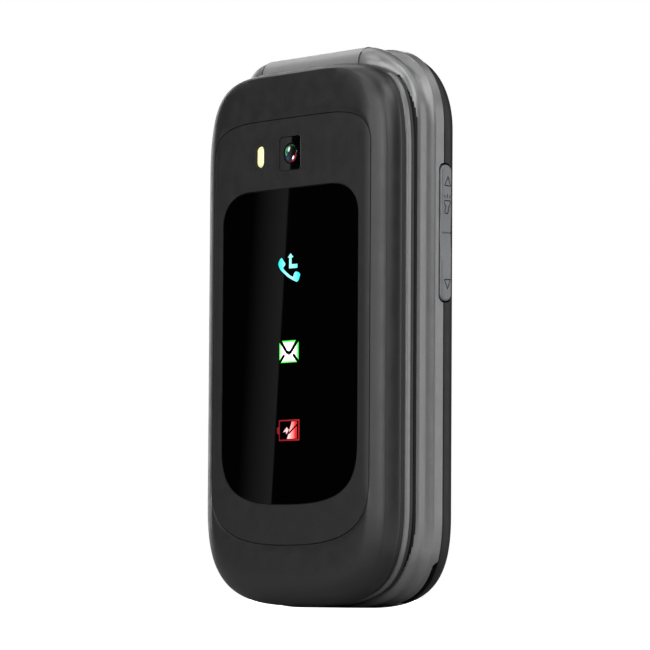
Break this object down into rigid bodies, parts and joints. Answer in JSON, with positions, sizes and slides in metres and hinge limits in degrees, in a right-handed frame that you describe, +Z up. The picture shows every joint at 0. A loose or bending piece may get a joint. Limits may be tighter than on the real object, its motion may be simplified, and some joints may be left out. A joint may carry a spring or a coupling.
{
  "type": "flip phone",
  "caption": "Closed clamshell mobile phone standing on end: soft-cornered lid with outer display window and camera, metallic edge bands, barrel hinge and side rocker key.",
  "frame": {"origin": "under the middle of the closed phone, on the surface that its lower end stands on", "axes": "+Z up to the hinge end, -Y out of the lid's face, +X to the side with the volume rocker"},
  "size_m": [0.0548, 0.019, 0.105],
  "materials": {
    "satin_shell": "satin dark grey lacquer on ABS",
    "front_panel": "satin charcoal inlay",
    "display_glass": "polished acrylic window",
    "black_film": "black mask print",
    "light_guide": "clear diffusing acrylic",
    "circuit_board": "green solder mask",
    "grey_lacquer": "metallic grey lacquer on ABS",
    "module_black": "black moulded plastic",
    "flash_lens": "frosted pale yellow lens",
    "display_panel": "dark liquid crystal panel",
    "steel": "plain steel",
    "soft_rubber": "soft dark rubber",
    "keypad_metal": "dark anodised sheet",
    "dome_film": "clear polyester film with steel domes",
    "inner_frame": "black glass-filled nylon",
    "battery_can": "aluminium can with a printed sleeve",
    "gold_contact": "gold-plated spring contact",
    "flex_film": "amber polyimide film",
    "rocker_plastic": "metallic grey lacquer on ABS",
    "rear_cover": "soft-feel black lacquer on ABS",
    "key_plastic": "moulded polycarbonate key"
  },
  "bodies": {
    "base": {"base_front_housing": "grey_lacquer", "keypad_fascia": "keypad_metal", "key_dome_sheet": "dome_film", "main_circuit_board": "circuit_board", "shield_cans": "steel", "base_rear_housing": "inner_frame", "battery": "battery_can", "battery_contacts": "gold_contact", "sim_card_holder": "steel", "loudspeaker": "module_black", "vibration_motor": "steel", "antenna_carrier": "inner_frame", "charging_socket": "steel", "microphone": "steel", "rocker_bracket": "inner_frame", "volume_switches": "module_black", "rocker_pin": "steel", "base_screws": "steel", "hinge_cam_head": "steel", "hinge_trunnion": "inner_frame", "display_flex": "flex_film"},
    "lid": {"lid_outer_cover": "satin_shell", "lid_front_panel": "front_panel", "outer_display_window": "display_glass", "icon_mask_film": "black_film", "icon_light_guides": "light_guide", "lid_circuit_board": "circuit_board", "lid_inner_housing": "grey_lacquer", "camera_window": "display_glass", "camera_module": "module_black", "flash_lens": "flash_lens", "main_display_window": "display_glass", "main_display_module": "display_panel", "earpiece_receiver": "module_black", "earpiece_mesh": "steel", "lid_magnet": "steel", "lid_bumpers": "soft_rubber", "lid_screws": "steel", "lid_screw_caps": "soft_rubber", "hinge_cam_unit": "steel"},
    "key_1": {"key_1": "key_plastic"},
    "key_2": {"key_2": "key_plastic"},
    "key_3": {"key_3": "key_plastic"},
    "key_4": {"key_4": "key_plastic"},
    "key_5": {"key_5": "key_plastic"},
    "key_6": {"key_6": "key_plastic"},
    "key_7": {"key_7": "key_plastic"},
    "key_8": {"key_8": "key_plastic"},
    "key_9": {"key_9": "key_plastic"},
    "key_star": {"key_star": "key_plastic"},
    "key_0": {"key_0": "key_plastic"},
    "key_hash": {"key_hash": "key_plastic"},
    "key_call": {"key_call": "key_plastic"},
    "key_end": {"key_end": "key_plastic"},
    "key_soft_left": {"key_soft_left": "key_plastic"},
    "key_soft_right": {"key_soft_right": "key_plastic"},
    "navigation_rocker": {"navigation_rocker": "keypad_metal"},
    "select_key": {"select_key": "keypad_metal"},
    "volume_rocker": {"volume_rocker": "rocker_plastic"},
    "rear_cover": {"rear_cover": "rear_cover"}
  },
  "joints": [
    {"name": "flip_hinge", "type": "hinge", "parent": "base", "child": "lid", "pos_m": [0, -0.00172, 0.1019], "axis": [-1, 0, 0], "range_deg": [0, 150]},
    {"name": "key_1_push", "type": "slide", "parent": "base", "child": "key_1", "axis": [0, 1, 0], "range_m": [0, 0.0004], "stiffness_N_per_m": 1000},
    {"name": "key_2_push", "type": "slide", "parent": "base", "child": "key_2", "axis": [0, 1, 0], "range_m": [0, 0.0004], "stiffness_N_per_m": 1000},
    {"name": "key_3_push", "type": "slide", "parent": "base", "child": "key_3", "axis": [0, 1, 0], "range_m": [0, 0.0004], "stiffness_N_per_m": 1000},
    {"name": "key_4_push", "type": "slide", "parent": "base", "child": "key_4", "axis": [0, 1, 0], "range_m": [0, 0.0004], "stiffness_N_per_m": 1000},
    {"name": "key_5_push", "type": "slide", "parent": "base", "child": "key_5", "axis": [0, 1, 0], "range_m": [0, 0.0004], "stiffness_N_per_m": 1000},
    {"name": "key_6_push", "type": "slide", "parent": "base", "child": "key_6", "axis": [0, 1, 0], "range_m": [0, 0.0004], "stiffness_N_per_m": 1000},
    {"name": "key_7_push", "type": "slide", "parent": "base", "child": "key_7", "axis": [0, 1, 0], "range_m": [0, 0.0004], "stiffness_N_per_m": 1000},
    {"name": "key_8_push", "type": "slide", "parent": "base", "child": "key_8", "axis": [0, 1, 0], "range_m": [0, 0.0004], "stiffness_N_per_m": 1000},
    {"name": "key_9_push", "type": "slide", "parent": "base", "child": "key_9", "axis": [0, 1, 0], "range_m": [0, 0.0004], "stiffness_N_per_m": 1000},
    {"name": "key_star_push", "type": "slide", "parent": "base", "child": "key_star", "axis": [0, 1, 0], "range_m": [0, 0.0004], "stiffness_N_per_m": 1000},
    {"name": "key_0_push", "type": "slide", "parent": "base", "child": "key_0", "axis": [0, 1, 0], "range_m": [0, 0.0004], "stiffness_N_per_m": 1000},
    {"name": "key_hash_push", "type": "slide", "parent": "base", "child": "key_hash", "axis": [0, 1, 0], "range_m": [0, 0.0004], "stiffness_N_per_m": 1000},
    {"name": "key_call_push", "type": "slide", "parent": "base", "child": "key_call", "axis": [0, 1, 0], "range_m": [0, 0.0004], "stiffness_N_per_m": 1000},
    {"name": "key_end_push", "type": "slide", "parent": "base", "child": "key_end", "axis": [0, 1, 0], "range_m": [0, 0.0004], "stiffness_N_per_m": 1000},
    {"name": "key_soft_left_push", "type": "slide", "parent": "base", "child": "key_soft_left", "axis": [0, 1, 0], "range_m": [0, 0.0004], "stiffness_N_per_m": 1000},
    {"name": "key_soft_right_push", "type": "slide", "parent": "base", "child": "key_soft_right", "axis": [0, 1, 0], "range_m": [0, 0.0004], "stiffness_N_per_m": 1000},
    {"name": "select_key_push", "type": "slide", "parent": "base", "child": "select_key", "axis": [0, 1, 0], "range_m": [0, 0.00035], "stiffness_N_per_m": 1000},
    {"name": "navigation_rock", "type": "hinge", "parent": "base", "child": "navigation_rocker", "pos_m": [0, 0.0007, 0.07], "axis": [1, 0, 0], "range_deg": [-1.2, 1.2], "stiffness_Nm_per_rad": 0.5},
    {"name": "volume_rock", "type": "hinge", "parent": "base", "child": "volume_rocker", "pos_m": [0.02405, 0.0055, 0.0696], "axis": [0, 1, 0], "range_deg": [-1.5, 1.5], "stiffness_Nm_per_rad": 0.5},
    {"name": "rear_cover_lift", "type": "slide", "parent": "base", "child": "rear_cover", "axis": [0, 1, 0], "range_m": [0, 0.012]}
  ]
}
